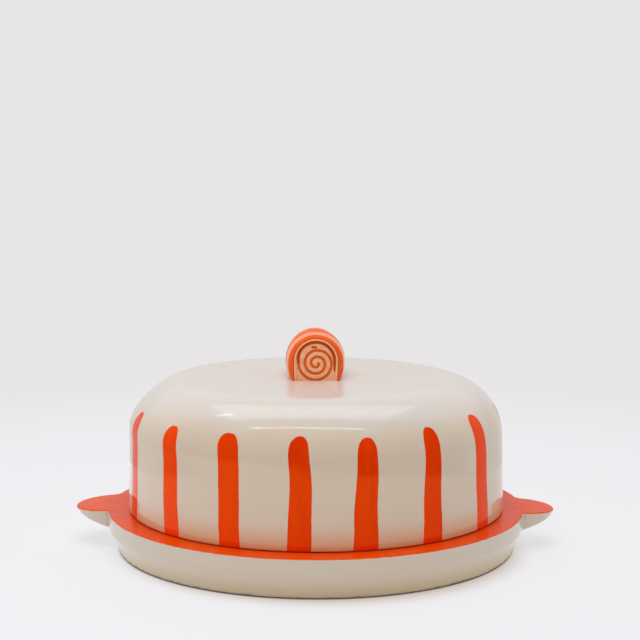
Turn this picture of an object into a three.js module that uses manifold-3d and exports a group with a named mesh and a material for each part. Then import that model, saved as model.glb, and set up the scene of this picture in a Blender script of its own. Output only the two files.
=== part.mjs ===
// Round serving plate with two lug handles and a domed cloche, in glazed ceramic.
// Millimetres, +Z up. The origin is the centre of the plate's foot, on the table.
// The lugs point along +X and -X, and the knob's decorated ends face -Y and +Y.

import * as THREE from 'three';
import { mergeVertices } from 'three/addons/utils/BufferGeometryUtils.js';
import Module from 'manifold-3d';

// Driving dimensions

// Gaps between pieces
const seatGap = 0.3; // under the cloche where it stands on the plate
const glazeLine = 0.3; // between pieces that are joined by slip and glaze

// Plate
const plateHeight = 25.5;
const flangeWidth = 13.5; // plate that shows all round the cloche
const slabThickness = 7;
const skirtThickness = 6.5;
const rimEdgeRadius = 0.9;
const flareHeight = 15.2; // where the flare of the skirt reaches the rim's radius
const flareInset = 7.6; // how far the foot stands in from the rim
const flareRounding = 3; // softens the bend between the flare and the upright rim
const footBand = 4.5; // upright band at the bottom of the skirt
const footWidth = 6.5; // flat ring that the plate stands on
const recessFillet = 5; // inside corner of the hollow underneath

// Lugs
const lugRadius = 22.5;
const lugReach = 22; // from the rim to the tip
const lugFillet = 4.5;
const lugRootThickness = 12.1;
const lugTipThickness = 2.8;
const lugDroop = 1.4; // fall of the top face from root to tip
const lugDraft = 1.5; // how far the underside's outline stands in from the top's

// Cloche
const clocheRadius = 125; // outside, at the base
const clocheWall = 5.5;
const wallHeight = 54; // of the upright wall, up to the shoulder
const wallLean = 1.2; // how far the wall leans in over that height
const shoulderHeight = 32.7;
const shoulderWidth = 36;
const shoulderRise = 21.5; // handle of the shoulder's curve along the wall
const shoulderReach = 16; // handle of the shoulder's curve along the top
const crownRise = 0.3; // of the nearly flat top, from the shoulder to the axis
const baseEdgeRadius = 1.6;
const clocheTurn = 2.8; // degrees that the cloche is set down out of square with the lugs

// Knob
const knobDepth = 49;
const knobFaceWidth = 28;
const knobSideHeight = 13.4; // of a face's upright edges, below its round top
const sideSwell = 5.7; // swell of each side between the two faces
const topSwell = 3;
const footSwell = 2.3; // swell of each side down on the cloche
const footBend = 9; // height over which a side rounds in to its foot
const swellPower = 0.2; // the lower, the fuller the knob close to its faces
const faceRim = 1.3; // raised edge round each face
const faceRecess = 0.8;
const grooveWidth = 1.8;
const grooveDepth = 1.2; // below the recessed face
const grooveMargin = 0.6; // between the spiral groove and the raised edge
const spiralStart = 1.2; // radius where the spiral begins
const spiralTurns = 2.6;

// Fineness of round forms
const roundSegments = 64;
const curveSteps = 8;
const spiralStepsPerTurn = 20;
const knobStations = [0, 0.02, 0.08, 0.25, 0.55, 1]; // sections of the knob, from a face to its middle

// Sizes that follow from these
const rimRadius = clocheRadius + flangeWidth;
const footRadius = rimRadius - flareInset;
const lugSeatRadius = rimRadius + glazeLine;
const lugTip = rimRadius + lugReach;
const clocheBase = plateHeight + seatGap;
const crownRadius = clocheRadius - wallLean - shoulderWidth;
const clocheHeight = wallHeight + shoulderHeight + crownRise;
const faceHalfWidth = knobFaceWidth / 2;
const knobFaceHeight = knobSideHeight + faceHalfWidth;
const spiralOuter = faceHalfWidth - faceRim - grooveMargin - grooveWidth / 2;
const spiralCentre = spiralOuter + grooveWidth / 2;
const cutOverrun = 2; // length by which a cutting body sticks out of what it cuts

// Glazes
const creamGlaze = { color: 0xd6c8ba, roughness: 0.14, metalness: 0 };
const orangeGlaze = { color: 0xde4a1c, roughness: 0.12, metalness: 0 };

const wasm = await Module();
wasm.setup();

function makeSolid(geometry) {
  const bare = geometry.clone();
  bare.deleteAttribute('normal');
  bare.deleteAttribute('uv');
  const merged = mergeVertices(bare, 1e-4);
  return new wasm.Manifold(new wasm.Mesh({
    numProp: 3,
    vertProperties: new Float32Array(merged.attributes.position.array),
    triVerts: new Uint32Array(merged.index.array),
  }));
}

function makeGeometry(solid) {
  const mesh = solid.getMesh();
  const geometry = new THREE.BufferGeometry();
  geometry.setAttribute('position', new THREE.BufferAttribute(mesh.vertProperties, 3));
  geometry.setIndex(new THREE.BufferAttribute(mesh.triVerts, 1));
  geometry.computeVertexNormals();
  return geometry;
}

function makeMesh(name, geometry, glaze) {
  const mesh = new THREE.Mesh(geometry, new THREE.MeshStandardMaterial(glaze));
  mesh.name = name;
  return mesh;
}

// A turned body about Z. The profile runs from the axis, along the underside,
// up the outside and back to the axis.
function turn(profile) {
  return new THREE.LatheGeometry(profile, roundSegments).rotateX(Math.PI / 2);
}

// A closed body through anticlockwise outlines of equal count. place(point, layer)
// puts an outline's point in space, with later layers towards the viewer of the outline.
function loft(outlines, place) {
  const count = outlines[0].length;
  const last = outlines.length - 1;
  const corners = outlines.flatMap((outline, layer) => outline.map((point) => place(point, layer)));
  const triangles = [];
  for (let layer = 0; layer < last; layer++) {
    for (let i = 0; i < count; i++) {
      const low = layer * count + i;
      const lowNext = layer * count + (i + 1) % count;
      triangles.push(low, lowNext, lowNext + count);
      triangles.push(low, lowNext + count, low + count);
    }
  }
  for (const [a, b, c] of THREE.ShapeUtils.triangulateShape(outlines[0], [])) {
    triangles.push(c, b, a);
  }
  for (const face of THREE.ShapeUtils.triangulateShape(outlines[last], [])) {
    triangles.push(...face.map((corner) => corner + last * count));
  }
  const geometry = new THREE.BufferGeometry().setFromPoints(corners);
  geometry.setIndex(triangles);
  geometry.computeVertexNormals();
  return geometry;
}

// Plate: a flat round top on a hollow skirt, which flares out from the foot
function servingPlate() {
  const innerRadius = rimRadius - skirtThickness;
  const footInner = footRadius - footWidth;
  const ceiling = plateHeight - slabThickness;
  const foot = new THREE.Vector2(footRadius, footBand);
  const bend = new THREE.Vector2(rimRadius, flareHeight);
  const bendStart = bend.clone().add(foot.sub(bend).setLength(flareRounding));
  const profile = new THREE.Path();
  profile.moveTo(0, ceiling);
  profile.lineTo(innerRadius - recessFillet, ceiling);
  profile.quadraticCurveTo(innerRadius, ceiling, innerRadius, ceiling - recessFillet);
  profile.lineTo(footInner, footBand);
  profile.lineTo(footInner, 0);
  profile.lineTo(footRadius, 0);
  profile.lineTo(footRadius, footBand);
  profile.lineTo(bendStart.x, bendStart.y);
  profile.quadraticCurveTo(bend.x, bend.y, rimRadius, flareHeight + flareRounding);
  profile.lineTo(rimRadius, plateHeight - rimEdgeRadius);
  profile.quadraticCurveTo(rimRadius, plateHeight, rimRadius - rimEdgeRadius, plateHeight);
  profile.lineTo(0, plateHeight);
  return turn(profile.getPoints(curveSteps / 2));
}

// Plan of a lug that points along +X: a half-round tab whose sides run out on the rim
// in small hollow fillets. The inset draws the tab's edge in, and not its seat on the rim.
function lugOutline(inset) {
  const tabRadius = lugRadius - inset;
  const fillet = lugFillet + inset;
  const tabCentre = lugTip - lugRadius;
  const filletReach = lugSeatRadius + fillet;
  const filletX = (filletReach ** 2 - (tabRadius + fillet) ** 2 + tabCentre ** 2) / (2 * tabCentre);
  const filletY = Math.sqrt(filletReach ** 2 - filletX ** 2);
  const seatAngle = Math.atan2(filletY, filletX);
  const tabAngle = Math.atan2(filletY, filletX - tabCentre);
  const plan = new THREE.Path();
  plan.absarc(filletX, -filletY, fillet, Math.PI - seatAngle, Math.PI - tabAngle, true);
  plan.absarc(tabCentre, 0, tabRadius, -tabAngle, tabAngle, false);
  plan.absarc(filletX, filletY, fillet, tabAngle - Math.PI, seatAngle - Math.PI, true);
  plan.absarc(0, 0, lugSeatRadius, seatAngle, -seatAngle, true);
  const points = plan.getPoints(curveSteps);
  return points.filter((point, i) => point.distanceTo(points[(i + 1) % points.length]) > 1e-6);
}

// Lug: flat on top with a slight fall, and thinner towards its tip
function lug(angle) {
  const taper = lugRootThickness - lugTipThickness;
  const place = (point, layer) => {
    const along = (point.length() - lugSeatRadius) / (lugTip - lugSeatRadius);
    const top = plateHeight - lugDroop * along;
    const thickness = lugRootThickness - taper * along;
    return new THREE.Vector3(point.x, point.y, layer === 0 ? top - thickness : top);
  };
  return loft([lugOutline(lugDraft), lugOutline(0)], place).rotateZ(angle);
}

// Outer profile of the cloche from its base to the axis, as radius and height above the base
function clocheOutside(steps) {
  const wallTop = new THREE.Vector2(clocheRadius - wallLean, wallHeight);
  const crownEdge = new THREE.Vector2(crownRadius, wallHeight + shoulderHeight);
  const wallSlope = wallLean / wallHeight;
  const crownSlope = 2 * crownRise / crownRadius;
  const shoulder = new THREE.CubicBezierCurve(
    wallTop,
    new THREE.Vector2(wallTop.x - wallSlope * shoulderRise, wallTop.y + shoulderRise),
    new THREE.Vector2(crownEdge.x + shoulderReach, crownEdge.y - crownSlope * shoulderReach),
    crownEdge,
  );
  const crown = new THREE.QuadraticBezierCurve(
    crownEdge,
    new THREE.Vector2(crownRadius / 2, clocheHeight),
    new THREE.Vector2(0, clocheHeight),
  );
  return [...shoulder.getPoints(steps), ...crown.getPoints(steps / 2).slice(1)];
}

// The same profile set in by the wall's thickness, along its normals
function clocheInside(outside) {
  return outside.map((point, i) => {
    const before = outside[Math.max(i - 1, 0)];
    const after = outside[Math.min(i + 1, outside.length - 1)];
    const run = new THREE.Vector2().subVectors(after, before).normalize();
    const inner = new THREE.Vector2(point.x - run.y * clocheWall, point.y + run.x * clocheWall);
    return i === outside.length - 1 ? new THREE.Vector2(0, clocheHeight - clocheWall) : inner;
  });
}

// Cloche: a straight wall, a round shoulder and a nearly flat top, open underneath
function clocheShell() {
  const outside = clocheOutside(curveSteps);
  const inside = clocheInside(outside).reverse();
  const innerRadius = clocheRadius - clocheWall;
  const base = new THREE.Path();
  base.moveTo(innerRadius, baseEdgeRadius);
  base.quadraticCurveTo(innerRadius, 0, innerRadius + baseEdgeRadius, 0);
  base.lineTo(clocheRadius - baseEdgeRadius, 0);
  base.quadraticCurveTo(clocheRadius, 0, clocheRadius, baseEdgeRadius);
  return turn([...inside, ...base.getPoints(curveSteps / 2), ...outside]);
}

// Arch with a round top, seen from the front. Its sides round in to a foot of another width.
function archOutline(halfWidth, height, footHalfWidth, foot) {
  const bend = Math.min(footBend, height - halfWidth);
  const arch = new THREE.Path();
  arch.moveTo(-footHalfWidth, foot);
  arch.lineTo(footHalfWidth, foot);
  arch.quadraticCurveTo(halfWidth, foot + bend / 2, halfWidth, foot + bend);
  arch.absarc(0, height - halfWidth, halfWidth, 0, Math.PI, false);
  arch.lineTo(-halfWidth, foot + bend);
  arch.quadraticCurveTo(-halfWidth, foot + bend / 2, -footHalfWidth, foot);
  return arch.getPoints(curveSteps).slice(0, -1);
}

// Band along a spiral that winds outwards clockwise and ends on the left
function spiralShape() {
  const steps = Math.round(spiralTurns * spiralStepsPerTurn);
  const edge = (side) => Array.from({ length: steps + 1 }, (_, i) => {
    const share = i / steps;
    const angle = Math.PI + (1 - share) * spiralTurns * 2 * Math.PI;
    const radius = spiralStart + share * (spiralOuter - spiralStart) + side * grooveWidth / 2;
    return new THREE.Vector2(radius * Math.cos(angle), spiralCentre + radius * Math.sin(angle));
  });
  return new THREE.Shape([...edge(1), ...edge(-1).reverse()]);
}

// Body that cuts a shape into both faces of the knob
function faceCutter(shape, depth) {
  const cutter = new THREE.ExtrudeGeometry(shape, { depth: depth + cutOverrun, bevelEnabled: false });
  cutter.rotateX(Math.PI / 2);
  const front = cutter.clone().translate(0, depth - knobDepth / 2, 0);
  const back = cutter.clone().translate(0, knobDepth / 2 + cutOverrun, 0);
  return makeSolid(front).add(makeSolid(back));
}

// Knob: a bulging arch with a recessed face at each end, and a spiral groove in the face
function knob() {
  const back = knobStations.map((share) => ({ share, y: knobDepth / 2 * (1 - share) }));
  const front = knobStations.map((share) => ({ share, y: knobDepth / 2 * (share - 1) }));
  const stations = [...back, ...front.slice(0, -1).reverse()];
  const outlines = stations.map(({ share }) => {
    const swell = share ** swellPower;
    const halfWidth = faceHalfWidth + sideSwell * swell;
    const footHalfWidth = faceHalfWidth + footSwell * swell;
    return archOutline(halfWidth, knobFaceHeight + topSwell * swell, footHalfWidth, 0);
  });
  const place = (point, layer) => new THREE.Vector3(point.x, stations[layer].y, point.y);
  const recessHalfWidth = faceHalfWidth - faceRim;
  const recessHeight = knobFaceHeight - faceRim;
  const recess = new THREE.Shape(archOutline(recessHalfWidth, recessHeight, recessHalfWidth, -cutOverrun));
  const body = makeSolid(loft(outlines, place));
  const faces = faceCutter(recess, faceRecess);
  const grooves = faceCutter(spiralShape(), faceRecess + grooveDepth);
  return makeGeometry(body.subtract(faces).subtract(grooves));
}

const plate = new THREE.Group();
plate.add(makeMesh('serving_plate', servingPlate(), orangeGlaze));
plate.add(makeMesh('right_lug', lug(0), orangeGlaze));
plate.add(makeMesh('left_lug', lug(Math.PI), orangeGlaze));

const cloche = new THREE.Group();
const knobMesh = makeMesh('knob', knob(), orangeGlaze);
knobMesh.position.z = clocheHeight + glazeLine;
cloche.add(makeMesh('cloche_shell', clocheShell(), creamGlaze));
cloche.add(knobMesh);
cloche.position.z = clocheBase;
cloche.rotation.z = THREE.MathUtils.degToRad(clocheTurn);

const servingSet = new THREE.Group();
servingSet.add(plate, cloche);

export default servingSet;
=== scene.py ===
import math
import random

import bmesh
import bpy
from mathutils import Matrix, Vector


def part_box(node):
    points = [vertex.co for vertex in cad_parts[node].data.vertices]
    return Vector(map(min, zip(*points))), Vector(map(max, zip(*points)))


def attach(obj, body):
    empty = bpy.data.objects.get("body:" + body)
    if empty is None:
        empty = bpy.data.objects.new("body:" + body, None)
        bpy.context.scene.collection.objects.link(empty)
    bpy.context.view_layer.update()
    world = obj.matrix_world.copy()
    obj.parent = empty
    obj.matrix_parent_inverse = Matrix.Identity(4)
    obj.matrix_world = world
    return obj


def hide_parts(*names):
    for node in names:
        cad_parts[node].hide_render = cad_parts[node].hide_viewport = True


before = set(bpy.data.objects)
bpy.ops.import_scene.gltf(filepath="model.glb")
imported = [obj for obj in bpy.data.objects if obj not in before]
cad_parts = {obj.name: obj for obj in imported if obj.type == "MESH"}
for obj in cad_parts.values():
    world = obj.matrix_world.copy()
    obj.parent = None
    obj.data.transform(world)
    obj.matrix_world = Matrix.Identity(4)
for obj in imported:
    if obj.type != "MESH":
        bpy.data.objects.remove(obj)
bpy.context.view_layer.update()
mm = 0.001
fullTurn = 2 * math.pi
print("frame loaded with", len(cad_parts), "solids")


photoCamera = {
    "distance": 1.0,  # metres from the plate's axis
    "height": 0.26655,
    "azimuth": 1.43,  # degrees right of square on
    "pitch": 6.652,  # degrees down
    "yaw": 0.136,  # degrees right of the axis
    "roll": 0.153,
    "lens": 85.26,  # on a sensor 36 mm wide
}


def addCamera(spec):
    azimuth = math.radians(spec["azimuth"])
    heading = azimuth - math.radians(spec["yaw"])
    tilt = math.pi / 2 - math.radians(spec["pitch"])
    bpy.ops.object.camera_add()
    camera = bpy.context.object
    camera.name = "photoCamera"
    camera.data.sensor_width = 36
    camera.data.lens = spec["lens"]
    camera.matrix_world = (
        Matrix.Translation((
            math.sin(azimuth) * spec["distance"],
            -math.cos(azimuth) * spec["distance"],
            spec["height"],
        ))
        @ Matrix.Rotation(heading, 4, "Z")
        @ Matrix.Rotation(tilt, 4, "X")
        @ Matrix.Rotation(math.radians(spec["roll"]), 4, "Z")
    )
    bpy.context.scene.camera = camera


bpy.ops.object.select_all(action="DESELECT")
addCamera(photoCamera)
print("camera set")


def smooth(low, high, value):  # 0 at low, 1 at high
    share = min(max((value - low) / (high - low), 0), 1)
    return share * share * (3 - 2 * share)


def bezier(points, share):  # point at that share of a curve with 3 or 4 control points
    while len(points) > 1:
        points = [a.lerp(b, share) for a, b in zip(points, points[1:])]
    return points[0]


def startRings(name, pole, ring, **marks):  # a fan round the pole, left with its open ring selected
    bpy.ops.object.select_all(action="DESELECT")
    bpy.ops.mesh.primitive_circle_add(vertices=len(ring), radius=mm, fill_type="TRIFAN")
    piece = bpy.context.object
    piece.name = name
    piece.data.name = name
    bpy.ops.object.mode_set(mode="EDIT")
    bm = bmesh.from_edit_mesh(piece.data)
    post = bm.verts.layers.int.new("post")  # place of a corner in its ring
    for mark in marks:
        bm.verts.layers.float.new(mark)
    corners = [vert for vert in bm.verts if len(vert.link_edges) == 3]
    for i, vert in enumerate(corners):
        vert[post] = i
    for vert in bm.verts:
        if vert not in corners:
            vert.co = pole
            for mark, values in marks.items():
                vert[bm.verts.layers.float[mark]] = values[0]
    bpy.ops.mesh.select_all(action="DESELECT")
    bpy.ops.mesh.select_non_manifold(
        extend=False, use_wire=False, use_multi_face=False, use_non_contiguous=False, use_verts=False
    )
    placeRing(piece, ring, marks)
    return piece


def placeRing(piece, ring, marks):  # puts the selected ring's corners in place
    bm = bmesh.from_edit_mesh(piece.data)
    post = bm.verts.layers.int["post"]
    layers = {mark: bm.verts.layers.float[mark] for mark in marks}
    for vert in bm.verts:
        if vert.select:
            i = vert[post]
            vert.co = ring[i]
            for mark, layer in layers.items():
                vert[layer] = marks[mark][i]
    bmesh.update_edit_mesh(piece.data)


def growRing(piece, ring, **marks):
    bpy.ops.mesh.extrude_region_move()
    placeRing(piece, ring, marks)


def closeRings(piece):  # draws the last ring in to its middle and ends the modelling
    bpy.ops.mesh.extrude_region_move()
    bpy.ops.mesh.merge(type="CENTER")
    bpy.ops.mesh.select_all(action="SELECT")
    bpy.ops.mesh.normals_make_consistent(inside=False)
    bpy.ops.object.mode_set(mode="OBJECT")
    piece.data.attributes.remove(piece.data.attributes["post"])
    bpy.ops.object.shade_smooth()
    return piece


deep = 9  # a mark far inside a painted or bare patch, or far outside of it when negative
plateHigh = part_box("serving_plate")[1]
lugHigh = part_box("right_lug")[1]

platter = {  # millimetres
    "top": plateHigh.z / mm,
    "rimRadius": plateHigh.x / mm,
    "lugTip": lugHigh.x / mm,
    "lugStrays": [-1.2, 1],  # the right and left lugs came out smaller and larger by this
    "lugRadius": 22.5,
    "lugFillet": 4.5,
    "lugRootThickness": 12.1,
    "lugTipThickness": 2.8,
    "lugDroop": 1.4,
    "lugDraft": 1.5,
    "lugRoot": 0.5,  # outside the rim, where the underside of a lug ends
    "lugBlend": 2.5,  # over which the rim turns into a lug
    "edgeRadius": 0.9,
    "edgeStep": 0.25,  # to the ring that keeps the flat beside a rounded edge flat
    "bendStep": 0.4,
    "flareHeight": 15.2,
    "flareInset": 6.6,
    "flareRounding": 3,
    "footBand": 4.5,
    "footCove": 4,  # softens the bend between the flare and the upright foot
    "footWidth": 6.5,
    "footRounding": 0.5,
    "skirtThickness": 6.5,
    "slabThickness": 7,
    "recessFillet": 5,
    "paintMargin": -0.1,  # cream edge outside the orange top
    "rimSteps": 120,  # corners along a quarter of the rim
    "filletSteps": 14,
    "tabSteps": 64,
    "coveSteps": 8,
    "topRings": [3, 10, 22, 40, 60, 80, 100, 112, 120, 126, 130, 133],  # radii
    "ceilingRings": [120, 100, 75, 50, 25, 6],
}


def halfRim(spec, stray):  # posts round the right-hand half: place, outward normal, angle on the rim
    rim = spec["rimRadius"]
    tab = spec["lugRadius"] + stray
    fillet = spec["lugFillet"]
    tabCentre = spec["lugTip"] + stray - tab
    filletX = ((rim + fillet) ** 2 - (tab + fillet) ** 2 + tabCentre ** 2) / (2 * tabCentre)
    filletY = math.sqrt((rim + fillet) ** 2 - filletX ** 2)
    seatAngle = math.atan2(filletY, filletX)
    tabAngle = math.atan2(filletY, filletX - tabCentre)
    quarter = math.pi / 2
    arcs = [  # centre, radius, first and last angle, steps, side on which the clay lies
        ((0, 0), rim, -quarter, -seatAngle, spec["rimSteps"], 1),
        ((filletX, -filletY), fillet, math.pi - seatAngle, math.pi - tabAngle, spec["filletSteps"], -1),
        ((tabCentre, 0), tab, -tabAngle, tabAngle, spec["tabSteps"], 1),
        ((filletX, filletY), fillet, tabAngle - math.pi, seatAngle - math.pi, spec["filletSteps"], -1),
        ((0, 0), rim, seatAngle, quarter, spec["rimSteps"], 1),
    ]
    lugSteps = 2 * spec["filletSteps"] + spec["tabSteps"]
    posts = []
    for centre, radius, first, last, steps, side in arcs:
        for step in range(steps):
            angle = first + (last - first) * step / steps
            normal = Vector((math.cos(angle), math.sin(angle)))
            place = Vector(centre) + normal * radius
            lugShare = (len(posts) - spec["rimSteps"]) / lugSteps
            onLug = 0 < lugShare < 1
            bearing = seatAngle * (2 * lugShare - 1) if onLug else math.atan2(place.y, place.x)
            posts.append((place, normal * side, bearing))
    return posts


def rimWalk(spec):  # the same posts all the way round
    posts = []
    for turn, stray in zip((0, math.pi), spec["lugStrays"]):
        spin = Matrix.Rotation(turn, 2)
        for place, normal, angle in halfRim(spec, stray):
            posts.append((spin @ place, spin @ normal, angle + turn))
    return posts


def platterRings(spec):  # places of every ring from the middle of the top round to the middle underneath
    rim = spec["rimRadius"]
    top = spec["top"]
    reach = spec["lugTip"] - rim
    edge = spec["edgeRadius"]
    foot = rim - spec["flareInset"]
    posts = rimWalk(spec)
    taper = spec["lugRootThickness"] - spec["lugTipThickness"]
    bendStart = Vector((rim, spec["flareHeight"] + spec["flareRounding"]))
    bend = Vector((rim, spec["flareHeight"]))
    flareFoot = Vector((foot, spec["footBand"]))
    bendEnd = bend + (flareFoot - bend).normalized() * spec["flareRounding"]
    rings = []

    def along(place):  # share of the way from the rim to the lug's tip
        return min(max((place.length - rim) / reach, 0), 1)

    def onTop(place, drop=0):
        return Vector((place.x, place.y, top - spec["lugDroop"] * along(place) - drop))

    def addRing(places, paint, bare=-deep):
        rings.append((places, [paint] * len(posts), [bare] * len(posts)))

    def circle(radius, height, paint=-deep, bare=-deep):
        places = [Vector((math.cos(a) * radius, math.sin(a) * radius, height)) for _, _, a in posts]
        addRing(places, paint, bare)

    def contour(inset, drop, paint):  # follows the outline
        addRing([onTop(place - normal * inset, drop) for place, normal, _ in posts], paint)

    for radius in spec["topRings"]:
        circle(radius, top, deep)
    hem = edge + spec["edgeStep"]
    for share in (0.2, 0.4, 0.6, 0.8):  # from the last circle out to the outline
        places = []
        for place, normal, angle in posts:
            inner = Vector((math.cos(angle), math.sin(angle))) * spec["topRings"][-1]
            places.append(onTop(inner.lerp(place - normal * hem, share)))
        addRing(places, deep)
    contour(hem, 0, hem - spec["paintMargin"])
    for degrees in (0, 20, 45, 70, 90):  # the rounded top edge
        inset = edge * (1 - math.sin(math.radians(degrees)))
        drop = edge * (1 - math.cos(math.radians(degrees)))
        contour(inset, drop, edge * (1 - math.radians(degrees)) - spec["paintMargin"])

    wallPath = [  # upright rim and the bend below it, as radius and height
        Vector((rim, top - edge - spec["edgeStep"])),
        Vector((rim, (top - edge + bendStart.y) / 2)),
        Vector((rim, bendStart.y + spec["bendStep"])),
        *[bezier([bendStart, bend, bendEnd], share) for share in (0, 0.2, 0.35, 0.5, 0.7, 0.85)],
    ]
    lugPath = [  # inset, drop as a share of the thickness, and rounding left
        (0, 0, 1.25),
        (0.5, 0.5, 0),
        (0.95, 1, -1.3),
        (1, 1, -1),
        (1.2, 1, -0.3),
        (1.6, 1, 0),
        (2.2, 1, 0),
    ]
    for k, wall in enumerate(wallPath):
        places = []
        for place, normal, angle in posts:
            ray = Vector((math.cos(angle), math.sin(angle)))
            onWall = Vector((ray.x * wall.x, ray.y * wall.x, wall.y))
            root = ray * (rim + spec["lugRoot"])
            draftShare, depthShare, rounding = lugPath[min(k, len(lugPath) - 1)]
            spot = place - normal * spec["lugDraft"] * draftShare
            if k >= len(lugPath):  # past the lug's edge, in to its root
                spot = spot.lerp(root, 0.5) if k == len(lugPath) else root
            if spot.length < root.length:
                spot = root
            thickness = spec["lugRootThickness"] - taper * along(spot)
            onLug = onTop(spot, thickness * depthShare + rounding * edge)
            places.append(onWall.lerp(onLug, smooth(0, spec["lugBlend"], place.length - rim)))
        addRing(places, -deep)

    cove = [
        flareFoot + (bendEnd - flareFoot).normalized() * spec["footCove"],
        flareFoot,
        flareFoot - Vector((0, spec["footCove"])),
    ]
    coveSpots = [bezier(cove, step / spec["coveSteps"]) for step in range(spec["coveSteps"] + 1)]
    for spot in [bendEnd, bendEnd.lerp(cove[0], 0.5), *coveSpots]:
        circle(spot.x, spot.y)
    inner = foot - spec["footWidth"]
    cavity = rim - spec["skirtThickness"]
    ceiling = top - spec["slabThickness"]
    fillet = spec["recessFillet"]
    bevel = spec["footRounding"]
    turns = []  # inset, height and mark of bare clay round an edge of the foot
    for degrees in (0, 30, 60, 90):
        turn = math.radians(degrees)
        turns.append((bevel * (1 - math.cos(turn)), bevel * (1 - math.sin(turn)), -0.9 + degrees / 100))
    for inset, height, bare in turns:
        circle(foot - inset, height, bare=bare)
    for radius in (foot - bevel - 0.5, inner + bevel + 0.5):  # flat that stands on the table
        circle(radius, 0, bare=0.5)
    for inset, height, bare in turns[::-1]:
        circle(inner + inset, height, bare=bare)
    band = spec["footBand"]
    for share in (0, 0.5, 1):
        circle(inner + (cavity - inner) * share, band + (ceiling - fillet - band) * share)
    corner = [
        Vector((cavity, ceiling - fillet)),
        Vector((cavity, ceiling)),
        Vector((cavity - fillet, ceiling)),
    ]
    for share in (0.2, 0.4, 0.6, 0.8, 1):
        spot = bezier(corner, share)
        circle(spot.x, spot.y)
    for radius in spec["ceilingRings"]:
        circle(radius, ceiling)
    return rings


def buildPlatter(spec):
    rings = platterRings(spec)
    piece = None
    for places, paint, bare in rings:
        ring = [place * mm for place in places]
        if piece is None:
            pole = Vector((0, 0, spec["top"] * mm))
            piece = startRings("platterWithLugs", pole, ring, paintEdge=paint, bareEdge=bare)
        else:
            growRing(piece, ring, paintEdge=paint, bareEdge=bare)
    return closeRings(piece)


platterPiece = buildPlatter(platter)
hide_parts("serving_plate", "left_lug", "right_lug")
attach(platterPiece, "plate")
print("platter:", len(platterPiece.data.polygons), "faces")


shellLow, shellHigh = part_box("cloche_shell")

cloche = {  # millimetres
    "base": shellLow.z / mm,
    "crownHeight": shellHigh.z / mm,
    "radius": platter["rimRadius"] - 13.5,  # leaves the flange of the plate showing
    "wall": 5.5,
    "wallHeight": 54,
    "wallLean": 1.2,
    "shoulderWidth": 36,
    "shoulderRise": 21.5,
    "shoulderReach": 16,
    "crownRise": 0.3,
    "crownDrift": -1.6,  # the shoulder and crown were thrown this far off the axis
    "driftHeights": (44, 76),  # between which that comes in
    "slump": 2.9,  # the left shoulder sank by this, in and down
    "slumpBearing": -95,
    "slumpSpread": (65, 10),  # degrees to either side where it ends, and where it is whole
    "slumpHeights": (54, 74),  # where it begins on the way up
    "slumpRadii": (88, 115),  # where it begins on the way out from the crown
    "baseRounding": 1.6,
    "turn": 2.8,  # degrees that the lid is set down out of square
    "segments": 384,
    "crownShares": [0.03, 0.1, 0.2, 0.32, 0.44, 0.56, 0.68, 0.8, 0.9],  # rings along the crown
    "shoulderSteps": 32,
    "wallSteps": 19,
}

stripes = {  # millimetres and degrees
    "count": 17,
    "first": -68.0,  # bearing of the first one from the front, towards the right
    "nudges": [-0.2, 1.5, 1.7, 1.6, -0.5, -1.1, -1.1, 5.6],  # the brush strayed by this from even spacing
    "leans": [0, 1.1, 0.9, -0.2, -1.2, -0.9, 0.6, 0],  # drift from the top to the base
    "widths": [14, 13.6, 14.0, 13.4, 13.8, 13.0, 14.2, 14],
    "spreads": [0, 0.6, -0.2, 1.3, 1.8, 1.8, 0.8, 0],  # wider at the base by this
    "tops": [72, 69.5, 69.5, 69.6, 68, 71.5, 74, 72],  # length up the wall from the base
    "skews": [1, 2.4, 1.2, 1.2, 0.3, -1, -1.4, -1],  # sideways shift of the tip
    "tones": [0.5, 1, 0.4, 0, 0.1, 0.2, 0.7, 0.5],  # how pale the load of the brush came out
    "tipLength": 12,
    "tipPower": 2.5,  # 2 gives an ellipse, more is blunter
    "seed": 17,  # for the strokes round the back, down to their skews
    "strayBearing": 1.5,
    "backLeans": (-1, 1),
    "backWidths": (12.8, 14),
    "backSpreads": (0, 1.6),
    "backTop": 70,
    "strayTop": 2.5,
    "backSkews": (-1.6, 1.6),
    "wave": 0.35,  # of the edges, where the hand shook
    "waveLengths": (11, 5.3),
}


def clocheOutline(spec):  # outside, from the middle of the crown down to the base, as radius and height
    wallTop = Vector((spec["radius"] - spec["wallLean"], spec["wallHeight"]))
    height = spec["crownHeight"] - spec["base"]
    crownEdge = Vector((wallTop.x - spec["shoulderWidth"], height - spec["crownRise"]))
    lean = spec["wallLean"] / spec["wallHeight"]
    fall = 2 * spec["crownRise"] / crownEdge.x
    shoulder = [
        crownEdge,
        crownEdge + Vector((1, -fall)) * spec["shoulderReach"],
        wallTop + Vector((-lean, 1)) * spec["shoulderRise"],
        wallTop,
    ]
    crown = [Vector((0, height)), Vector((crownEdge.x / 2, height)), crownEdge]
    wallFoot = Vector((spec["radius"], spec["baseRounding"]))
    path = [bezier(crown, share) for share in spec["crownShares"]]
    path += [bezier(shoulder, step / spec["shoulderSteps"]) for step in range(spec["shoulderSteps"])]
    path += [wallTop.lerp(wallFoot, step / spec["wallSteps"]) for step in range(spec["wallSteps"] + 1)]
    return path


def insetPath(path, wall):  # the same line, set in along its normals
    inner = []
    for i, spot in enumerate(path):
        run = path[min(i + 1, len(path) - 1)] - path[max(i - 1, 0)]
        inner.append(spot + Vector((-run.y, run.x)).normalized() * -wall)
    return inner


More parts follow.
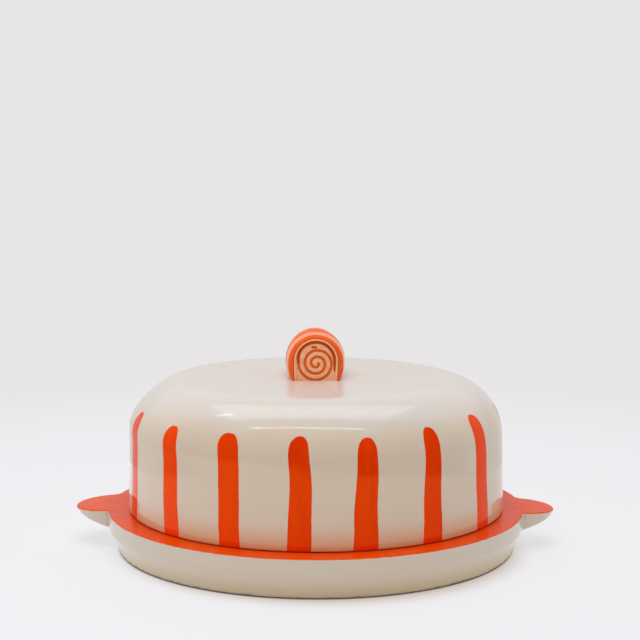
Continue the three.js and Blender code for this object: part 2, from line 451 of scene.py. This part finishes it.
def clocheRings(spec):  # radius, height, length up the wall (negative inside), mark of bare clay
    outside = clocheOutline(spec)
    inside = insetPath(outside, spec["wall"])
    rounding = spec["baseRounding"]
    lengths = [0]
    for a, b in zip(outside[::-1], outside[-2::-1]):
        lengths.append(lengths[-1] + (a - b).length)
    lengths = [length + rounding for length in lengths[::-1]]
    rings = [(spot.x, spot.y, length, -deep) for spot, length in zip(outside, lengths)]
    turns = []  # inset, height, share of the rounding left and mark of bare clay, round an edge
    for degrees in (20, 45, 70, 90):
        turn = math.radians(degrees)
        inset = rounding * (1 - math.cos(turn))
        turns.append((inset, rounding * (1 - math.sin(turn)), 1 - turn / 2, -0.5 + degrees / 120))
    for inset, height, share, bare in turns:
        rings.append((spec["radius"] - inset, height, rounding * share, bare))
    for inset, height, _, bare in turns[::-1]:
        rings.append((spec["radius"] - spec["wall"] + inset, height, -deep, bare))
    rings += [(spot.x, spot.y, -deep, -deep) for spot in inside[::-1]]
    return rings


def brushStrokes(spec, turn):  # one dictionary for each stroke
    rng = random.Random(spec["seed"])
    strokes = []
    for k in range(spec["count"]):
        shown = k < len(spec["nudges"])
        stray = spec["nudges"][k] if shown else rng.uniform(-1, 1) * spec["strayBearing"]
        bearing = spec["first"] + k * 360 / spec["count"] + stray - turn
        strokes.append({
            "bearing": math.radians(bearing),
            "lean": math.radians(spec["leans"][k] if shown else rng.uniform(*spec["backLeans"])),
            "halfWidth": (spec["widths"][k] if shown else rng.uniform(*spec["backWidths"])) / 2,
            "spread": (spec["spreads"][k] if shown else rng.uniform(*spec["backSpreads"])) / 2,
            "top": spec["tops"][k] if shown else spec["backTop"] + rng.uniform(-1, 1) * spec["strayTop"],
            "skew": spec["skews"][k] if shown else rng.uniform(*spec["backSkews"]),
            "tone": spec["tones"][k] if shown else rng.uniform(0, 1),
            "phase": rng.uniform(0, fullTurn),
        })
    return strokes


def strokeDepth(bearing, radius, length, stroke, spec):  # millimetres inside a stroke, negative outside
    drift = stroke["lean"] * (1 - length / stroke["top"])
    offset = (bearing - stroke["bearing"] - drift + math.pi) % fullTurn - math.pi
    slow, quick = spec["waveLengths"]
    wave = math.sin(length / slow + stroke["phase"]) + 0.5 * math.sin(length / quick + 2 * stroke["phase"])
    across = offset * radius + spec["wave"] * wave
    below = stroke["top"] - length
    tip = spec["tipLength"]
    half = stroke["halfWidth"] + stroke["spread"] * (1 - 2 * length / stroke["top"])
    if below > tip:
        return half - abs(across)
    rise = (tip - below) / tip
    across -= stroke["skew"] * rise * rise
    power = spec["tipPower"]
    return (1 - (abs(across / half) ** power + rise ** power) ** (1 / power)) * half


def slumpShare(bearing, spec):  # 1 where the shoulder sank most, 0 away from it
    offset = (bearing - math.radians(spec["slumpBearing"]) + math.pi) % fullTurn - math.pi
    return smooth(*spec["slumpSpread"], abs(math.degrees(offset)))


def buildCloche(spec, stripeSpec):
    count = spec["segments"]
    strokes = brushStrokes(stripeSpec, spec["turn"])
    turn = math.radians(spec["turn"])
    bearings = [fullTurn * i / count for i in range(count)]
    piece = None
    for radius, height, length, bare in clocheRings(spec):
        ring = []
        paint = []
        tones = []
        drift = spec["crownDrift"] * smooth(*spec["driftHeights"], height)
        slump = spec["slump"] * math.sqrt(0.5)  # as much in as down
        slump *= smooth(*spec["slumpHeights"], height) * smooth(*spec["slumpRadii"], radius)
        for bearing in bearings:  # measured from -Y towards +X, in the lid's own frame
            angle = bearing - math.pi / 2 + turn
            sunk = slump * slumpShare(bearing, spec)
            reach = radius - sunk
            up = spec["base"] + height - sunk
            ring.append(Vector((math.cos(angle) * reach + drift, math.sin(angle) * reach, up)) * mm)
            above = max(length, 0)
            depths = [strokeDepth(bearing, radius, above, stroke, stripeSpec) for stroke in strokes]
            paint.append(max(*depths, -deep) if length > 0 else -deep)
            tones.append(strokes[depths.index(max(depths))]["tone"])
        marks = {"paintEdge": paint, "bareEdge": [bare] * count, "tone": tones}
        if piece is None:
            pole = Vector((spec["crownDrift"], 0, spec["crownHeight"])) * mm
            piece = startRings("stripedCloche", pole, ring, **marks)
        else:
            growRing(piece, ring, **marks)
    return closeRings(piece)


clochePiece = buildCloche(cloche, stripes)
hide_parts("cloche_shell")
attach(clochePiece, "cloche")
print("cloche:", len(clochePiece.data.polygons), "faces")


rollKnob = {  # millimetres
    "base": cloche["crownHeight"] - 0.15,  # bedded in the glaze of the crown
    "depth": 49,
    "shift": -0.8,  # sideways on the crown
    "faceHalfWidth": 14,
    "footHalfWidth": 13.4,
    "sideHeight": 13.4,
    "sideSwell": 5.7,
    "topSwell": 3.5,
    "footSwell": 3.2,
    "swellPower": 0.2,
    "footBend": 9,
    "rim": 0.78,  # width of the bead round the face
    "rimRise": 0.3,
    "rimSlope": 0.45,  # over which the recessed face falls away from it
    "beadEdge": (0.8, 1.3),  # shares of its width where its colour ends and that of the face begins
    "coilDepth": 0.5,  # of the recessed face
    "coilRounding": 0.18,
    "coilEdge": (1.9, 1),  # half widths of the groove, over which the coils are rounded over towards it
    "grooveDepth": 0.9,
    "grooveHalfWidth": 0.85,
    "grooveSpill": 1.12,  # half widths that are orange
    "darkEdge": (1.3, 0.7),  # half widths over which the wider groove and the nick get painted shade
    "archHalfWidth": 1.05,  # of the wider groove inside the bead
    "archThin": 0.4,  # its width at the ends, as a share
    "archTapers": [(-2, 9), (-8, 6)],  # heights over which it gets wider, on the right and left
    "archMeet": 10,  # height from which it draws in on the left, to meet the end of the spiral
    "spiralMiddle": Vector((0.4, 11.4)),
    "spiralStart": 1.3,
    "spiralPitch": 4.2,
    "spiralTurns": 2.5,
    "nick": [Vector((-2.4, 22.2)), Vector((0.2, 22))],  # short cut in the outer coil
    "nickInset": 0.25,  # it is narrower than the spiral by this
    "archGrooveEnd": 6.7,  # height where the groove along the arch stops, on the right
    "bands": [4.4, 15],  # depths where the orange at an end stops, and the orange in the middle starts
    "bandStart": 0.1,  # swell at which the orange starts
    "crease": (1.5, 0.8),  # swell over which painted shade comes in beside the bead
    "stations": 30,  # sections from a face to the middle
    "faceRings": 54,
    "footSteps": 60,  # corners of a section along its foot, bends, sides and arch
    "bendSteps": 22,
    "sideSteps": 10,
    "archSteps": 100,
}


def archOutline(halfWidth, height, footHalf, spec):  # anticlockwise from the lower left corner
    straight = height - halfWidth
    bend = spec["footBend"]
    steps = spec["footSteps"]
    path = [Vector((-footHalf + 2 * footHalf * i / steps, 0)) for i in range(steps)]
    side = [Vector((footHalf, 0)), Vector((halfWidth, bend / 2)), Vector((halfWidth, bend))]
    right = [bezier(side, i / spec["bendSteps"]) for i in range(spec["bendSteps"])]
    for i in range(spec["sideSteps"]):
        right.append(Vector((halfWidth, bend + (straight - bend) * i / spec["sideSteps"])))
    path += right
    for i in range(spec["archSteps"] + 1):
        angle = math.pi * i / spec["archSteps"]
        path.append(Vector((math.cos(angle) * halfWidth, straight + math.sin(angle) * halfWidth)))
    path += [Vector((-spot.x, spot.y)) for spot in right[:0:-1]]
    return path


def spiralGap(across, up, spec):  # from a point of the face to the middle of the groove, in half widths
    arm = Vector((across, up)) - spec["spiralMiddle"]
    share = (-math.atan2(arm.y, arm.x) / fullTurn) % 1  # clockwise from the right
    nearest = (arm - Vector((spec["spiralStart"], 0))).length
    for lap in range(math.ceil(spec["spiralTurns"])):
        turns = share + lap
        if turns <= spec["spiralTurns"]:
            nearest = min(nearest, abs(arm.length - spec["spiralStart"] - spec["spiralPitch"] * turns))
    return nearest / spec["grooveHalfWidth"]


def nickGap(across, up, spec):
    first, last = spec["nick"]
    spot = Vector((across, up))
    share = min(max((spot - first).dot(last - first) / (last - first).length_squared, 0), 1)
    return ((spot - first.lerp(last, share)).length + spec["nickInset"]) / spec["grooveHalfWidth"]


def archGap(across, up, spec):  # the groove that follows the arch
    arm = Vector((across, up)) - spec["spiralMiddle"]
    archLine = spec["faceHalfWidth"] - spec["rim"] - spec["archHalfWidth"]
    if across < 0:  # draws in to meet the end of the spiral
        spiralEnd = spec["spiralStart"] + spec["spiralPitch"] * spec["spiralTurns"]
        spiralEnd -= spec["spiralMiddle"].x
        archLine += (spiralEnd - archLine) * smooth(spec["archMeet"], 0, arm.y)
    nearest = math.hypot(across - archLine, up - spec["archGrooveEnd"])
    if arm.y > 0 or (across > 0 and up > spec["archGrooveEnd"]):
        nearest = min(nearest, abs(archRadius(across, up, spec) - archLine))
    onRight, onLeft = spec["archTapers"]
    taper = smooth(*onRight, up - spec["archGrooveEnd"]) if across > 0 else smooth(*onLeft, arm.y)
    thin = spec["archThin"]
    return nearest / (spec["archHalfWidth"] * (thin + (1 - thin) * taper))


def archRadius(across, up, spec):  # how far out a point lies, with the sides tucked in at the foot
    bend = max(1 - up / spec["footBend"], 0) ** 2
    tuck = (spec["faceHalfWidth"] - spec["footHalfWidth"]) * bend
    return math.hypot(across, max(up - spec["sideHeight"], 0)) + tuck


def faceRelief(across, up, spec):  # depth, millimetres inside the orange, tone from -1 (bead, painted highlight) to 2 (painted shade)
    inside = spec["faceHalfWidth"] - archRadius(across, up, spec)
    sunk = smooth(spec["rim"], spec["rim"] + spec["rimSlope"], inside)
    darkGap = min(archGap(across, up, spec), nickGap(across, up, spec))
    gap = min(spiralGap(across, up, spec), darkGap)
    groove = max(1 - gap * gap, 0)
    shoulder = spec["coilRounding"] * smooth(*spec["coilEdge"], gap)
    depth = sunk * (spec["coilDepth"] + shoulder + spec["grooveDepth"] * groove)
    if inside < spec["rim"]:  # a bead runs round the face
        depth = spec["rimRise"] * (1 - math.sin(math.pi * max(inside, 0) / spec["rim"]))
    else:
        depth += spec["rimRise"]
    paint = min((spec["grooveSpill"] - gap) * spec["grooveHalfWidth"], inside - spec["rim"])
    if inside < spec["beadEdge"][0] * spec["rim"]:
        return depth, paint, -1
    # painted shade in the wider groove and the nick
    dark = 1 + smooth(*spec["darkEdge"], darkGap)
    return depth, paint, smooth(*spec["beadEdge"], inside / spec["rim"]) * dark


def bandDepth(depth, spec):  # millimetres inside an orange band of the knob's back, and its painted shade beside the bead
    end, middle = spec["bands"]
    fromEnd = min(depth, spec["depth"] - depth)
    outward = spec["sideSwell"] * (2 * fromEnd / spec["depth"]) ** spec["swellPower"]
    atEnd = min(outward - spec["bandStart"], end - fromEnd)
    return max(atEnd, fromEnd - middle), 2 * smooth(*spec["crease"], outward)


def buildKnob(spec):
    faceHeight = spec["sideHeight"] + spec["faceHalfWidth"]
    half = spec["depth"] / 2
    spin = Matrix.Rotation(math.radians(cloche["turn"]), 4, "Z")

    def place(across, depth, up):
        return spin @ Vector((across + spec["shift"], depth - half, spec["base"] + up)) * mm

    def section(share):
        swell = share ** spec["swellPower"]
        halfWidth = spec["faceHalfWidth"] + spec["sideSwell"] * swell
        footHalf = spec["footHalfWidth"] + spec["footSwell"] * swell
        return archOutline(halfWidth, faceHeight + spec["topSwell"] * swell, footHalf, spec)

    face = section(0)
    centre = spec["spiralMiddle"]
    faceLayers = []
    for step in range(1, spec["faceRings"] + 1):
        spots = [centre.lerp(spot, step / spec["faceRings"]) for spot in face]
        relief = [faceRelief(spot.x, spot.y, spec) for spot in spots]
        faceLayers.append((spots, *zip(*relief)))
    sunkFoot = faceLayers[-1][1]  # depth of the face along the outline, where it runs out at the foot

    layers = []
    for spots, depths, paint, carved in faceLayers:
        layers.append(([place(s.x, d, s.y) for s, d in zip(spots, depths)], paint, carved))
    shares = [(step + 1) / spec["stations"] for step in range(spec["stations"])]
    stations = [half * share ** (1 / spec["swellPower"]) for share in shares]
    for depth in stations + [spec["depth"] - d for d in stations[-2::-1]]:
        fromEnd = min(depth, spec["depth"] - depth)
        spots = section(fromEnd / half)
        ring = []
        for spot, sunk in zip(spots, sunkFoot):
            inset = sunk * (1 - fromEnd / half)
            ring.append(place(spot.x, depth + inset * (1 if depth < half else -1), spot.y))
        paint, crease = bandDepth(depth, spec)
        layers.append((ring, [paint] * len(face), [crease] * len(face)))
    for spots, depths, paint, carved in faceLayers[::-1]:
        ring = [place(s.x, spec["depth"] - d, s.y) for s, d in zip(spots, depths)]
        layers.append((ring, paint, carved))

    pole = place(centre.x, faceRelief(centre.x, centre.y, spec)[0], centre.y)
    piece = None
    for ring, paint, carved in layers:
        if piece is None:
            piece = startRings("rollKnob", pole, ring, paintEdge=paint, carved=carved)
        else:
            growRing(piece, ring, paintEdge=paint, carved=carved)
    return closeRings(piece)


knobPiece = buildKnob(rollKnob)
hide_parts("knob")
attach(knobPiece, "cloche")
print("knob:", len(knobPiece.data.polygons), "faces")


glaze = {
    "fleck": (0.50, 0.38, 0.26, 1),
    "clay": (0.60, 0.49, 0.37, 1),
    "wiped": (0.95, 0.60, 0.40, 1),  # coils of the knob, where more orange was wiped off
    "pooledAndShaded": (0.86, 0.18, 0.03, 1),  # orange in the knob's spiral grooves: glaze pooled there, made darker as painted shade
    "shadedGroove": (0.68, 0.11, 0.014, 1),  # painted shade in the wider groove, the nick and the crease beside the bead
    "bead": (1, 0.64, 0.38, 1),  # raised edge of the knob's faces, its cream painted lighter as a highlight
    "polish": 0.045,  # roughness of the glaze at its smoothest
    "dullness": 0.1,
    "softness": 0.17,  # added where the glaze lies level
    "level": (0.9, 0.995),  # upward part of the normal over which that comes in
    "thick": (0.33, 0.86),  # the same for the level cream against the upright one, painted lit and shaded copies
    "cloud": 0.5,  # how far that strays
    "clayRoughness": 0.8,
    "waver": 0.55,  # millimetres over which painted edges stray
    "blur": 0.12,  # millimetres to either side of a painted edge
    "bareBlur": 0.1,
    "ripple": 0.00012,  # metres
    "peel": 0.03,  # finer pits and the layer of paint, as shares of the ripple
    "layer": 0.25,
    "noises": {  # cells per metre, and detail
        "cloud": (24, 3),
        "flecks": (620, 1),
        "streaks": (130, 3),
        "wiped": (260, 3),
        "waver": (210, 2),
        "gloss": (60, 4),
        "grain": (900, 4),
        "ripple": (38, 1),
        "peel": (420, 2),
    },
}


def link(tree, source, target):
    tree.links.new(source, target)


def addNode(tree, kind, **settings):
    node = tree.nodes.new(kind)
    for name, value in settings.items():
        setattr(node, name, value)
    return node


def noiseNode(tree, coords, scale, detail, stretch=None):
    node = addNode(tree, "ShaderNodeTexNoise")
    node.inputs["Scale"].default_value = scale
    node.inputs["Detail"].default_value = detail
    if stretch:
        mapping = addNode(tree, "ShaderNodeMapping")
        mapping.inputs["Scale"].default_value = stretch
        link(tree, coords, mapping.inputs["Vector"])
        coords = mapping.outputs["Vector"]
    link(tree, coords, node.inputs["Vector"])
    return node.outputs["Fac"]


def rangeNode(tree, value, low, high, first=0.0, last=1.0):
    node = addNode(tree, "ShaderNodeMapRange", interpolation_type="SMOOTHSTEP")
    for name, number in (("From Min", low), ("From Max", high), ("To Min", first), ("To Max", last)):
        node.inputs[name].default_value = number
    link(tree, value, node.inputs["Value"])
    return node.outputs["Result"]


def mathNode(tree, operation, a, b):
    node = addNode(tree, "ShaderNodeMath", operation=operation)
    for socket, value in zip(node.inputs, (a, b)):
        if isinstance(value, (int, float)):
            socket.default_value = value
        else:
            link(tree, value, socket)
    return node.outputs["Value"]


def strayNode(tree, noise, reach):  # swings to either side of 0
    return mathNode(tree, "MULTIPLY", mathNode(tree, "SUBTRACT", noise, 0.5), reach)


def mixColour(tree, share, first, second):
    node = addNode(tree, "ShaderNodeMix", data_type="RGBA")
    link(tree, share, node.inputs["Factor"])
    for name, colour in (("A", first), ("B", second)):
        socket = next(s for s in node.inputs if s.name == name and s.type == "RGBA")
        if isinstance(colour, tuple):
            socket.default_value = colour
        else:
            link(tree, colour, socket)
    return next(s for s in node.outputs if s.type == "RGBA")


def markNode(tree, name):
    return addNode(tree, "ShaderNodeAttribute", attribute_name=name).outputs["Fac"]


def paintedGlaze(piece, name, spec, coat):
    material = bpy.data.materials.new(name)
    material.use_nodes = True
    tree = material.node_tree
    shader = tree.nodes["Principled BSDF"]
    texture = addNode(tree, "ShaderNodeTexCoord")
    coords = texture.outputs["Object"]

    def noise(feature, stretch=None):
        return noiseNode(tree, coords, *spec["noises"][feature], stretch)

    facing = addNode(tree, "ShaderNodeSeparateXYZ")
    link(tree, texture.outputs["Normal"], facing.inputs["Vector"])
    cloud = strayNode(tree, noise("cloud"), spec["cloud"])
    # cream by facing: on the plate and the cloche the upright cream is a painted shaded copy of the level
    # one
    thick = rangeNode(tree, mathNode(tree, "ADD", facing.outputs["Z"], cloud), *spec["thick"])
    cream = mixColour(tree, thick, coat["creamUpright"], coat["cream"])
    if "hem" in coat:  # warmer towards the base; on the cloche this is a painted orange reflection of the plate's flange
        height = addNode(tree, "ShaderNodeSeparateXYZ")
        link(tree, coords, height.inputs["Vector"])
        hem = rangeNode(tree, height.outputs["Z"], *coat["hem"], 1, 0)
        cream = mixColour(tree, hem, cream, coat["creamHem"])
    flecks = rangeNode(tree, noise("flecks"), 0.74, 0.8, 0, 0.35)
    cream = mixColour(tree, flecks, cream, spec["fleck"])

    streaks = rangeNode(tree, noise("streaks", coat["stroke"]), 0.3, 0.72)
    orange = mixColour(tree, streaks, coat["orange"], coat["orangeDeep"])

    marks = piece.data.attributes.keys()
    if "tone" in marks:  # strokes of the cloche
        orange = mixColour(tree, markNode(tree, "tone"), orange, coat["orangePale"])
    if "carved" in marks:  # faces of the knob
        mark = markNode(tree, "carved")
        wiped = rangeNode(tree, noise("wiped"), 0.3, 0.75, 0, 0.7)
        carved = rangeNode(tree, mark, 0, 1)
        cream = mixColour(tree, mathNode(tree, "MULTIPLY", wiped, carved), cream, spec["wiped"])
        # groove orange darkened: pooled glaze and painted shade
        orange = mixColour(tree, carved, orange, spec["pooledAndShaded"])
        # darker still: painted shade in the wider groove, the nick and beside the bead
        orange = mixColour(tree, rangeNode(tree, mark, 1, 2), orange, spec["shadedGroove"])
        # painted highlight: the bead's cream made lighter
        cream = mixColour(tree, rangeNode(tree, mark, -0.9, -0.2, 1, 0), cream, spec["bead"])

    waver = strayNode(tree, noise("waver"), spec["waver"])
    edge = mathNode(tree, "ADD", markNode(tree, "paintEdge"), waver)
    blur = spec["blur"]
    painted = rangeNode(tree, edge, -blur, blur)
    colour = mixColour(tree, painted, cream, orange)

    gloss = rangeNode(tree, noise("gloss"), 0.35, 0.75, spec["polish"], spec["dullness"])
    softened = rangeNode(tree, facing.outputs["Z"], *spec["level"], 0, spec["softness"])
    gloss = mathNode(tree, "ADD", gloss, softened)
    if "bareEdge" in marks:  # unglazed where the piece stands
        bare = rangeNode(tree, markNode(tree, "bareEdge"), -spec["bareBlur"], spec["bareBlur"])
        grain = rangeNode(tree, noise("grain"), 0.3, 0.7, 0.25, 0)
        clay = mixColour(tree, grain, spec["clay"], spec["fleck"])
        colour = mixColour(tree, bare, colour, clay)
        gloss = mathNode(tree, "MAXIMUM", gloss, mathNode(tree, "MULTIPLY", bare, spec["clayRoughness"]))
    link(tree, colour, shader.inputs["Base Color"])
    link(tree, gloss, shader.inputs["Roughness"])
    gleam = mixColour(tree, painted, (1, 1, 1, 1), coat["gleam"])
    link(tree, gleam, shader.inputs["Specular Tint"])
    ior = rangeNode(tree, edge, -blur, blur, coat["creamIor"], coat["orangeIor"])
    shader.inputs["IOR"].default_value = coat["creamIor"]
    link(tree, ior, shader.inputs["IOR"])

    peel = mathNode(tree, "MULTIPLY", noise("peel"), spec["peel"])
    layer = mathNode(tree, "MULTIPLY", painted, spec["layer"])
    height = mathNode(tree, "ADD", mathNode(tree, "ADD", noise("ripple"), peel), layer)
    bump = addNode(tree, "ShaderNodeBump")
    bump.inputs["Distance"].default_value = spec["ripple"]
    bump.inputs["Strength"].default_value = 1
    link(tree, height, bump.inputs["Height"])
    link(tree, bump.outputs["Normal"], shader.inputs["Normal"])
    piece.data.materials.append(material)


platterCoat = {
    "cream": (0.735, 0.665, 0.60, 1),  # on level surfaces, the lit copy
    "creamUpright": (0.725, 0.610, 0.485, 1),  # on upright walls, a warmer and darker painted shaded copy
    "creamHem": (0.735, 0.594, 0.40, 1),  # warmer still, towards the base
    "hem": (0.001, 0.014),  # heights in metres over which that fades
    "orange": (0.89, 0.082, 0.003, 1),
    "orangeDeep": (0.83, 0.065, 0.002, 1),
    "creamIor": 1.46,
    "orangeIor": 1.16,
    "gleam": (1, 0.8, 0.12, 1),  # tint of what the orange mirrors head on
    "stroke": (1, 1, 0.3),  # stretches the streaks along the brush
}
clocheCoat = {
    # level cream, and a painted shaded copy of it for upright walls
    "cream": (0.735, 0.665, 0.60, 1),
    "creamUpright": (0.735, 0.594, 0.446, 1),
    # painted orange reflection of the plate's flange near the base
    "creamHem": (0.73, 0.42, 0.22, 1),
    "hem": (0.026, 0.0435),
    "orange": (0.87, 0.049, 0.001, 1),
    "orangeDeep": (0.79, 0.034, 0.001, 1),
    "orangePale": (0.98, 0.062, 0.002, 1),
    "creamIor": 1.46,
    "orangeIor": 1.2,
    "gleam": (9, 1.9, 0.2, 1),
    "stroke": (1, 1, 0.12),
}
knobCoat = {
    "cream": (1, 0.38, 0.18, 1),  # peach in place of cream
    "creamUpright": (1, 0.43, 0.22, 1),
    "orange": (1, 0.14, 0.028, 1),
    "orangeDeep": (0.94, 0.11, 0.02, 1),
    "creamIor": 1.05,
    "orangeIor": 1.04,
    "gleam": (1, 0.8, 0.12, 1),
    "stroke": (1, 0.3, 1),
}
paintedGlaze(platterPiece, "platterGlaze", glaze, platterCoat)
paintedGlaze(clochePiece, "clocheGlaze", glaze, clocheCoat)
paintedGlaze(knobPiece, "knobGlaze", glaze, knobCoat)
print("glazes mixed")


studio = {  # metres and watts
    "backdrop": (0.80, 0.784, 0.784, 1),
    "sideBack": (0.58, 0.565, 0.555, 1),  # the backdrop as it lights the object
    "lowBack": (0.74, 0.73, 0.725, 1),  # what the glaze mirrors of it, near the floor and above
    "highBack": (0.92, 0.90, 0.885, 1),
    "overhead": (0.78, 0.765, 0.75, 1),
    "leftRoom": (0.99, 0.95, 0.895, 1),  # soft light from the room in front
    "rightRoom": (0.60, 0.57, 0.52, 1),
    "leftSide": (0.94, 1.10, 1.40, 1),  # cooler light from windows at both sides
    "rightSide": (0.92, 1.05, 1.30, 1),
    "darkRoom": (0.10, 0.095, 0.09, 1),  # what the glaze mirrors of that room
    "behind": (-0.1, 0.4),  # parts of a direction: how far back the room gives way to the backdrop,
    "rightward": (-0.8, 0.8),  # from the left of the room to its right,
    "roomTop": (0.2, 0.65),  # how high the room ends,
    "windowSide": (0.65, 0.95),  # where the windows begin, and how high they end,
    "windowTop": (0.35, 0.9),
    "highRise": (0.2, 0.4),  # how high highBack and overhead begin
    "overheadRise": (0.5, 0.78),
    "floor": (0.30, 0.295, 0.305, 1),
    "floorRoughness": 0.7,
    "floorShine": 0.2,
    "floorRadius": 0.85,
    "floorCorners": 128,
    "floorDrop": 0.0002,  # keeps it clear of the foot
    "floorFade": (0.36, 0.8415),  # radii over which it fades into the backdrop
    "floorGlow": (0.575, 0.577, 0.593, 1),  # the table top is lit from below
    "glowMiddle": (0, -0.002, 0),
    "glowEdge": (0.1303, 0.1325),  # radii over which the glow comes up round the foot, with a painted contact shadow inside them
    "floorShade": (0.42, 0.36, 0.295, 1),  # what is left of it in the plate's soft shadow
    "shadeMiddle": (0.006, -0.018, 0),
    "shadeEdge": (0.111, 0.139),  # radii over which the shadow ends
    "mirroredMiddle": (0, -0.13, 0),
    "mirroredEdge": (0.425, 0.435),  # radii over which the table top ends, as the glaze mirrors it
    "brightMiddle": (0.1, 0, 0),
    "brightEdge": (0.25, 0.42),  # radii over which it is mirrored brighter
    "brightness": 1.35,
    "bounceEdge": (0.16, 0.26),  # radii over which the glow that reaches the object falls off
    "bounce": (0.9, 0.75),
    "lamps": {
        "fill": {"middle": (-0.14, -0.42, 1.65), "size": (1.7, 1.2), "power": 19.5, "mirrored": False},
        "panel": {"middle": (-0.05, 0.26, 1.55), "size": (1.6, 0.66), "power": 5.5, "mirrored": True},
        "panelBack": {"middle": (-0.05, 0.80, 1.55), "size": (1.6, 0.42), "power": 2.2, "mirrored": True},
        "frontTube": {"middle": (-0.07, -0.69, 1.55), "size": (1.55, 0.11), "power": 2.4, "mirrored": True},
        "spark": {"middle": (-0.87, 0.28, 1.54), "size": (0.30, 0.16), "power": 0.45, "mirrored": True},
        "tubeEnd": {"middle": (-0.79, -0.66, 1.54), "size": (0.20, 0.13), "power": 0.2, "mirrored": True},
        "leftTube": {"middle": (-0.85, 0.15, 1.55), "size": (0.06, 0.35), "power": 0.25, "mirrored": True},
    },
}


def distanceNode(tree, coords, middle):
    node = addNode(tree, "ShaderNodeVectorMath", operation="DISTANCE")
    link(tree, coords, node.inputs[0])
    node.inputs[1].default_value = middle
    return node.outputs["Value"]


def addFloor(spec):
    bpy.ops.object.select_all(action="DESELECT")
    bpy.ops.mesh.primitive_circle_add(
        vertices=spec["floorCorners"], radius=spec["floorRadius"], fill_type="NGON"
    )
    floor = bpy.context.object
    floor.name = "paleFloor"
    floor.data.transform(Matrix.Translation((0, 0, -spec["floorDrop"])))
    material = bpy.data.materials.new("paleFloor")
    material.use_nodes = True
    tree = material.node_tree
    shader = tree.nodes["Principled BSDF"]
    shader.inputs["Base Color"].default_value = spec["floor"]
    shader.inputs["Roughness"].default_value = spec["floorRoughness"]
    shader.inputs["Specular IOR Level"].default_value = spec["floorShine"]
    coords = addNode(tree, "ShaderNodeTexCoord").outputs["Object"]

    def away(middle, *span):  # a range of the distance from a point on the floor
        return rangeNode(tree, distanceNode(tree, coords, middle), *span)

    centre = (0, 0, 0)
    paths = addNode(tree, "ShaderNodeLightPath")
    glow = away(spec["glowMiddle"], *spec["glowEdge"])
    bounce = away(centre, *spec["bounceEdge"], *spec["bounce"])
    bounce = mathNode(tree, "POWER", bounce, paths.outputs["Is Diffuse Ray"])  # 1 for all other rays
    gleam = away(spec["brightMiddle"], *spec["brightEdge"], 1, spec["brightness"])
    gleam = mathNode(tree, "POWER", gleam, paths.outputs["Is Glossy Ray"])
    strength = mathNode(tree, "MULTIPLY", glow, mathNode(tree, "MULTIPLY", bounce, gleam))
    link(tree, strength, shader.inputs["Emission Strength"])
    lit = away(spec["shadeMiddle"], *spec["shadeEdge"])
    tint = mixColour(tree, lit, spec["floorShade"], spec["floorGlow"])
    link(tree, tint, shader.inputs["Emission Color"])
    fade = away(centre, *spec["floorFade"], 1, 0)
    mirrored = away(spec["mirroredMiddle"], *spec["mirroredEdge"], 1, 0)
    shown = addNode(tree, "ShaderNodeMix")
    link(tree, paths.outputs["Is Glossy Ray"], shown.inputs["Factor"])
    link(tree, fade, shown.inputs["A"])
    link(tree, mirrored, shown.inputs["B"])
    link(tree, shown.outputs["Result"], shader.inputs["Alpha"])
    floor.data.materials.append(material)


def setWorld(spec):
    world = bpy.data.worlds.new("paleStudio")
    bpy.context.scene.world = world
    world.use_nodes = True
    tree = world.node_tree
    background = tree.nodes["Background"]
    direction = addNode(tree, "ShaderNodeTexCoord").outputs["Generated"]
    axes = addNode(tree, "ShaderNodeSeparateXYZ")
    link(tree, direction, axes.inputs["Vector"])
    across, back, up = axes.outputs
    paths = addNode(tree, "ShaderNodeLightPath")
    behind = rangeNode(tree, back, *spec["behind"])
    rightward = rangeNode(tree, across, *spec["rightward"])
    room = mixColour(tree, rightward, spec["leftRoom"], spec["rightRoom"])
    room = mixColour(tree, rangeNode(tree, up, *spec["roomTop"]), room, spec["darkRoom"])
    soft = mixColour(tree, behind, room, spec["sideBack"])
    sideways = rangeNode(tree, mathNode(tree, "ABSOLUTE", across, 0), *spec["windowSide"])
    low = rangeNode(tree, up, *spec["windowTop"], 1, 0)
    window = mixColour(tree, rightward, spec["leftSide"], spec["rightSide"])
    soft = mixColour(tree, mathNode(tree, "MULTIPLY", sideways, low), soft, window)
    shine = mixColour(tree, rangeNode(tree, up, *spec["highRise"]), spec["lowBack"], spec["highBack"])
    shine = mixColour(tree, rangeNode(tree, up, *spec["overheadRise"]), shine, spec["overhead"])
    shine = mixColour(tree, behind, spec["darkRoom"], shine)
    around = mixColour(tree, paths.outputs["Is Glossy Ray"], soft, shine)
    colour = mixColour(tree, paths.outputs["Is Camera Ray"], around, spec["backdrop"])
    link(tree, colour, background.inputs["Color"])
    background.inputs["Strength"].default_value = 1


def addLamp(name, spec):  # faces straight down, and is either mirrored in the glaze or lights it softly
    bpy.ops.object.light_add(type="AREA", location=spec["middle"])
    lamp = bpy.context.object
    lamp.name = name
    lamp.data.shape = "RECTANGLE"
    lamp.data.size, lamp.data.size_y = spec["size"]
    lamp.data.energy = spec["power"]
    lamp.visible_glossy = spec["mirrored"]
    lamp.visible_diffuse = not spec["mirrored"]


addFloor(studio)
setWorld(studio)
for lampName, lampSpec in studio["lamps"].items():
    addLamp(lampName, lampSpec)
bpy.context.scene.view_settings.view_transform = "Standard"
print("studio lit")
